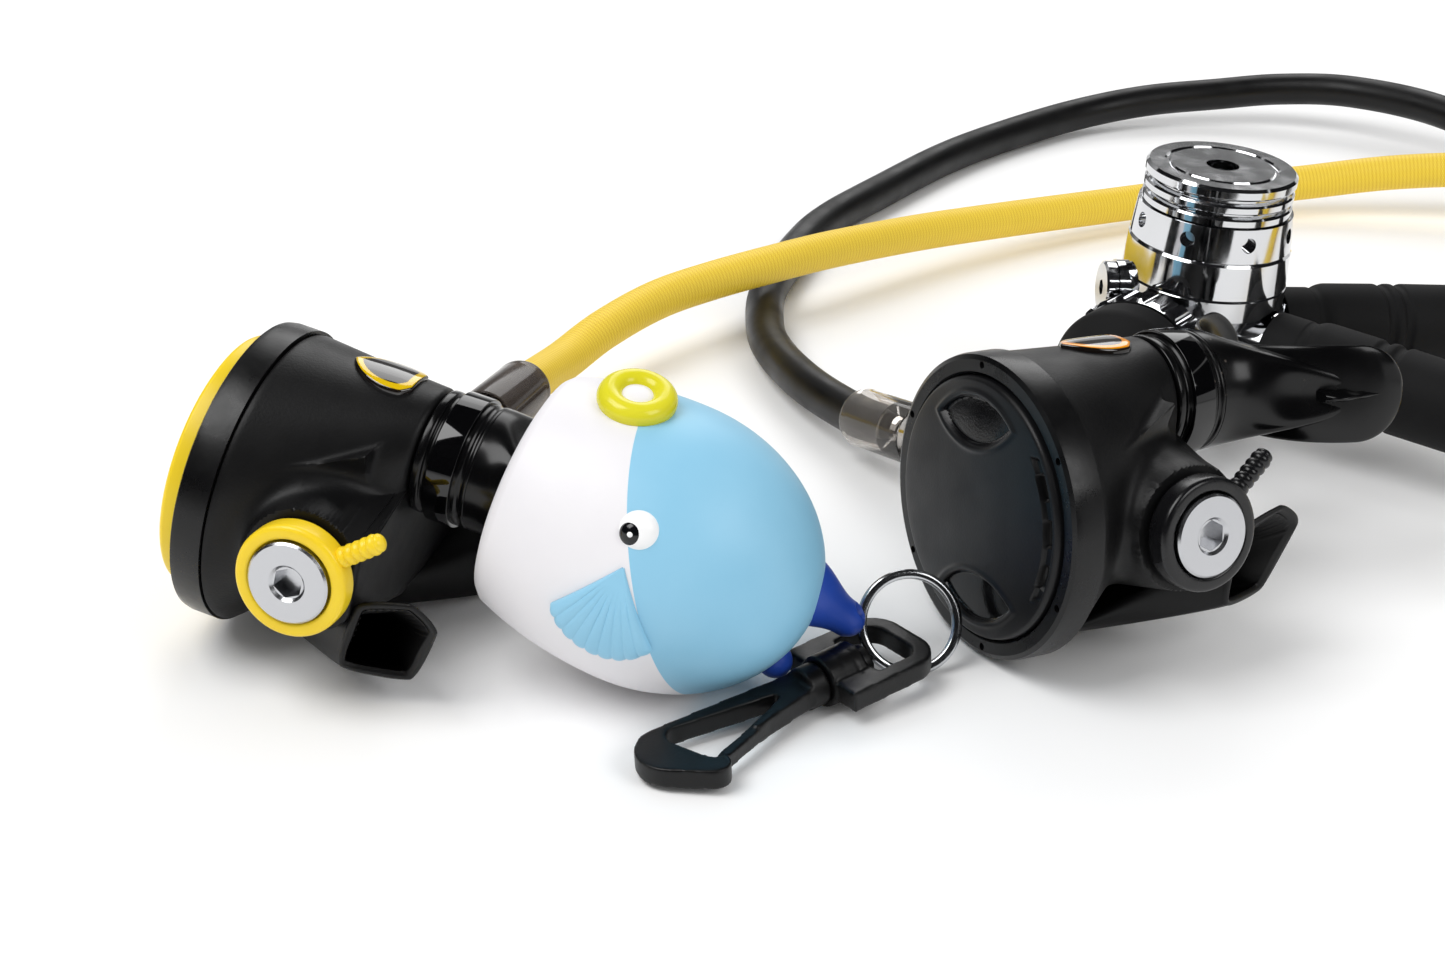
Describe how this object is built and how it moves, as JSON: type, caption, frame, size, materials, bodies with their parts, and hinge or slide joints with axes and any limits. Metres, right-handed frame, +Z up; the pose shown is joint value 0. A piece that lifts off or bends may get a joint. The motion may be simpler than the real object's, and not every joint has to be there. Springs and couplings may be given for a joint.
{
  "type": "scuba regulator set",
  "caption": "First stage with two second stages on low-pressure hoses, a soft mouthpiece holder and a swivel clip, laid out on a table.",
  "frame": {"origin": "on the table, under the middle of the set without its two hoses", "axes": "+Z up from the table, +Y away from the side where the second stages lie, +X to the right seen from that side"},
  "size_m": [0.515, 0.4719, 0.0792],
  "materials": {
    "case_black": "fine matte texture",
    "ring_black": "satin",
    "yellow_cover": "fine matte texture",
    "rubber_black": "matte",
    "silicone_black": "glossy",
    "silicone_grey": "matte",
    "chrome": "polished",
    "spring_steel": "drawn wire",
    "poppet_plastic": "moulded",
    "brass": "machined",
    "badge_gold": "printed edge",
    "sleeve_smoky": "see-through",
    "braid_yellow": "braided",
    "holder_blue": "soft moulding",
    "clip_black": "satin"
  },
  "bodies": {
    "set": {"main_case": "case_black", "main_ring": "ring_black", "main_diaphragm": "silicone_grey", "main_valve_barrel": "chrome", "main_poppet_spring": "spring_steel", "main_orifice": "brass", "main_end_plug": "chrome", "main_exhaust_valve": "silicone_grey", "main_exhaust_tee": "rubber_black", "main_mouthpiece": "silicone_black", "main_mouthpiece_band": "silicone_black", "main_badge": "badge_gold", "main_hose_nut": "chrome", "main_hose_sleeve": "sleeve_smoky", "octo_case": "case_black", "octo_ring": "ring_black", "octo_diaphragm": "silicone_grey", "octo_valve_barrel": "chrome", "octo_poppet_spring": "spring_steel", "octo_orifice": "brass", "octo_end_plug": "chrome", "octo_exhaust_valve": "silicone_grey", "octo_exhaust_tee": "rubber_black", "octo_mouthpiece": "silicone_black", "octo_mouthpiece_band": "silicone_black", "octo_badge": "badge_gold", "octo_hose_nut": "chrome", "octo_hose_sleeve": "sleeve_smoky", "fs_body": "chrome", "fs_clamp_ring": "chrome", "fs_cap": "chrome", "fs_adjuster": "chrome", "fs_main_spring": "spring_steel", "fs_diaphragm": "rubber_black", "fs_seat_spring": "spring_steel", "fs_filter": "brass", "fs_din_stem": "chrome", "fs_port_plugs": "chrome", "main_hose_end": "chrome", "octo_hose_end": "chrome", "main_guard": "rubber_black", "octo_guard": "rubber_black", "main_hose": "rubber_black", "octo_hose": "braid_yellow", "holder_body": "holder_blue"},
    "main_purge": {"main_purge_cover": "case_black"},
    "main_lever": {"main_demand_lever": "spring_steel"},
    "main_valve": {"main_poppet": "poppet_plastic"},
    "main_venturi": {"main_venturi_lever": "ring_black"},
    "octo_purge": {"octo_purge_cover": "yellow_cover"},
    "octo_lever": {"octo_demand_lever": "spring_steel"},
    "octo_valve": {"octo_poppet": "poppet_plastic"},
    "octo_venturi": {"octo_venturi_lever": "yellow_cover"},
    "fs_valve": {"fs_lifter": "chrome", "fs_seat_poppet": "chrome"},
    "fs_wheel": {"fs_din_wheel": "chrome"},
    "fs_cover": {"fs_dust_cap": "rubber_black"},
    "ring": {"split_ring": "spring_steel"},
    "eye": {"clip_eye": "clip_black"},
    "hook": {"clip_hook": "clip_black"}
  },
  "joints": [
    {"name": "main_purge_press", "type": "slide", "parent": "set", "child": "main_purge", "axis": [0.8762, 0.4751, -0.0803], "range_m": [0, 0.003], "stiffness_N_per_m": 1500, "deforming": ["main_diaphragm"]},
    {"name": "main_lever_swing", "type": "hinge", "parent": "set", "child": "main_lever", "pos_m": [0.02465, -0.01754, 0.02948], "axis": [-0.0253, 0.2118, 0.977], "range_deg": [0, 7]},
    {"name": "main_valve_open", "type": "slide", "parent": "set", "child": "main_valve", "axis": [0.4812, -0.854, 0.1977], "range_m": [0, 0.0005], "deforming": ["main_poppet_spring"]},
    {"name": "main_venturi_turn", "type": "hinge", "parent": "set", "child": "main_venturi", "pos_m": [0.04752, -0.06423, 0.0402], "axis": [0.4812, -0.854, 0.1977], "range_deg": [0, 75]},
    {"name": "octo_purge_press", "type": "slide", "parent": "set", "child": "octo_purge", "axis": [0.93, -0.2981, -0.2152], "range_m": [0, 0.003], "stiffness_N_per_m": 1500, "deforming": ["octo_diaphragm"]},
    {"name": "octo_lever_swing", "type": "hinge", "parent": "set", "child": "octo_lever", "pos_m": [-0.139, -0.02579, 0.02838], "axis": [0.2374, 0.04, 0.9706], "range_deg": [0, 7]},
    {"name": "octo_valve_open", "type": "slide", "parent": "set", "child": "octo_valve", "axis": [-0.2807, -0.9537, 0.108], "range_m": [0, 0.0005], "deforming": ["octo_poppet_spring"]},
    {"name": "octo_venturi_turn", "type": "hinge", "parent": "set", "child": "octo_venturi", "pos_m": [-0.15666, -0.07544, 0.03475], "axis": [-0.2807, -0.9537, 0.108], "range_deg": [0, 75]},
    {"name": "first_stage_valve", "type": "slide", "parent": "set", "child": "fs_valve", "axis": [-0.0785, 0, -0.9969], "range_m": [0, 0.0008], "stiffness_N_per_m": 4000, "deforming": ["fs_seat_spring"]},
    {"name": "din_wheel_turn", "type": "hinge", "parent": "set", "child": "fs_wheel", "pos_m": [0.05384, 0.05684, 0.02781], "axis": [-0.6, -0.7986, 0.0472], "continuous": true},
    {"name": "dust_cap_pull", "type": "slide", "parent": "fs_wheel", "child": "fs_cover", "axis": [-0.6, -0.7986, 0.0472], "range_m": [0, 0.009]},
    {"name": "split_ring_swing", "type": "hinge", "parent": "set", "child": "ring", "pos_m": [-0.03163, -0.05943, 0.015], "axis": [0.1433, -0.8654, 0.4802], "range_deg": [-3, 8]},
    {"name": "clip_swing", "type": "hinge", "parent": "ring", "child": "eye", "pos_m": [-0.01851, -0.05797, 0.00773], "axis": [-0.0414, -0.032, 0.9986], "range_deg": [0, 5]},
    {"name": "clip_swivel", "type": "hinge", "parent": "eye", "child": "hook", "pos_m": [-0.0355, -0.0711, 0.0066], "axis": [-0.7901, -0.6107, -0.0523], "continuous": true}
  ],
  "couplings": [
    {"joint": "main_lever_swing", "follows": "main_purge_press", "rad_per_m": 40.643},
    {"joint": "main_valve_open", "follows": "main_purge_press", "ratio": 0.16633},
    {"joint": "octo_lever_swing", "follows": "octo_purge_press", "rad_per_m": 40.643},
    {"joint": "octo_valve_open", "follows": "octo_purge_press", "ratio": 0.16633}
  ]
}
